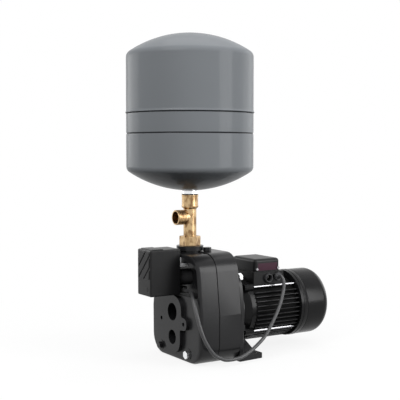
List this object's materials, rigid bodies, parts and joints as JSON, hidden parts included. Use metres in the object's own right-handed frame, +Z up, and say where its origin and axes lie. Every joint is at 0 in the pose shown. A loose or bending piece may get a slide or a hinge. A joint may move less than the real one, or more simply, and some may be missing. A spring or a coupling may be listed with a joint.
{
  "type": "deep well jet pump",
  "caption": "Self-contained deep well jet pump set: twin-port iron casing, finned motor, fan cover, pressure switch, brass tee and upright diaphragm tank.",
  "frame": {"origin": "on the ground plane, under the upright axis of the discharge port, the brass tee and the tank; a point on the flat underside of the pump casing", "axes": "+Z up along the tank's axis; +X along the motor shaft, from the suction ports to the fan cover; +Y completes a right-handed frame, so the cord hangs on the -Y side"},
  "size_m": [0.4828, 0.2836, 0.7171],
  "materials": {
    "casing_paint": "dark grey satin paint on cast iron",
    "motor_paint": "black satin paint on aluminium",
    "black_plastic": "moulded, fine grain",
    "tank_paint": "grey gloss paint on sheet steel",
    "brass": "cast and machined",
    "zinc": "bright zinc plate",
    "steel": "machined",
    "stainless": "bright",
    "copper": "enamelled winding wire",
    "rubber": "matte",
    "cord_rubber": "smooth round jacket",
    "ceramic": "smooth",
    "can_aluminium": "drawn"
  },
  "bodies": {
    "pump_set": {"pump_casing": "casing_paint", "drain_plug": "zinc", "side_plug": "casing_paint", "priming_plug": "casing_paint", "casing_gasket": "rubber", "motor_bracket": "casing_paint", "bracket_bolt_1": "zinc", "bracket_bolt_2": "zinc", "bracket_bolt_3": "zinc", "bracket_bolt_4": "zinc", "diffuser": "black_plastic", "seal_seat": "ceramic", "front_bearing": "steel", "rear_bearing": "steel", "stator_core": "steel", "winding_front": "copper", "winding_rear": "copper", "stator_frame": "motor_paint", "front_shield": "motor_paint", "rear_shield": "motor_paint", "tie_rod_1": "zinc", "tie_rod_2": "zinc", "tie_rod_3": "zinc", "tie_rod_4": "zinc", "fan_cover": "motor_paint", "terminal_base": "black_plastic", "terminal_gasket": "rubber", "terminal_lid": "black_plastic", "lid_screw_1": "zinc", "lid_screw_2": "zinc", "terminal_block": "ceramic", "run_capacitor": "can_aluminium", "open_gland": "black_plastic", "cable_gland": "black_plastic", "brass_tee": "brass", "union_nut": "brass", "tank_upper_shell": "tank_paint", "tank_lower_shell": "tank_paint", "clamp_ring": "steel", "diaphragm": "rubber", "tank_neck": "zinc", "neck_gasket": "rubber", "air_valve": "black_plastic", "switch_cover": "black_plastic", "cover_screw": "black_plastic", "switch_base": "black_plastic", "lever_pin": "steel", "switch_nipple": "casing_paint", "switch_bracket": "zinc", "switch_gland": "rubber", "switch_cable": "cord_rubber"},
    "rotor": {"shaft": "stainless", "rotor_core": "steel", "impeller": "stainless", "impeller_nut": "stainless", "seal_ring": "rubber", "cooling_fan": "black_plastic"},
    "plunger": {"switch_plunger": "steel"},
    "lever": {"contact_lever": "copper"}
  },
  "joints": [
    {"name": "rotor_spin", "type": "hinge", "parent": "pump_set", "child": "rotor", "pos_m": [0.1, 0, 0.1], "axis": [1, 0, 0], "continuous": true},
    {"name": "plunger_slide", "type": "slide", "parent": "pump_set", "child": "plunger", "axis": [-1, 0, 0], "range_m": [0, 0.0015], "stiffness_N_per_m": 2000},
    {"name": "lever_rock", "type": "hinge", "parent": "pump_set", "child": "lever", "pos_m": [-0.0738, 0, 0.2], "axis": [0, 1, 0], "range_deg": [0, 4.6]}
  ],
  "couplings": [
    {"joint": "lever_rock", "follows": "plunger_slide", "rad_per_m": 52.632}
  ]
}
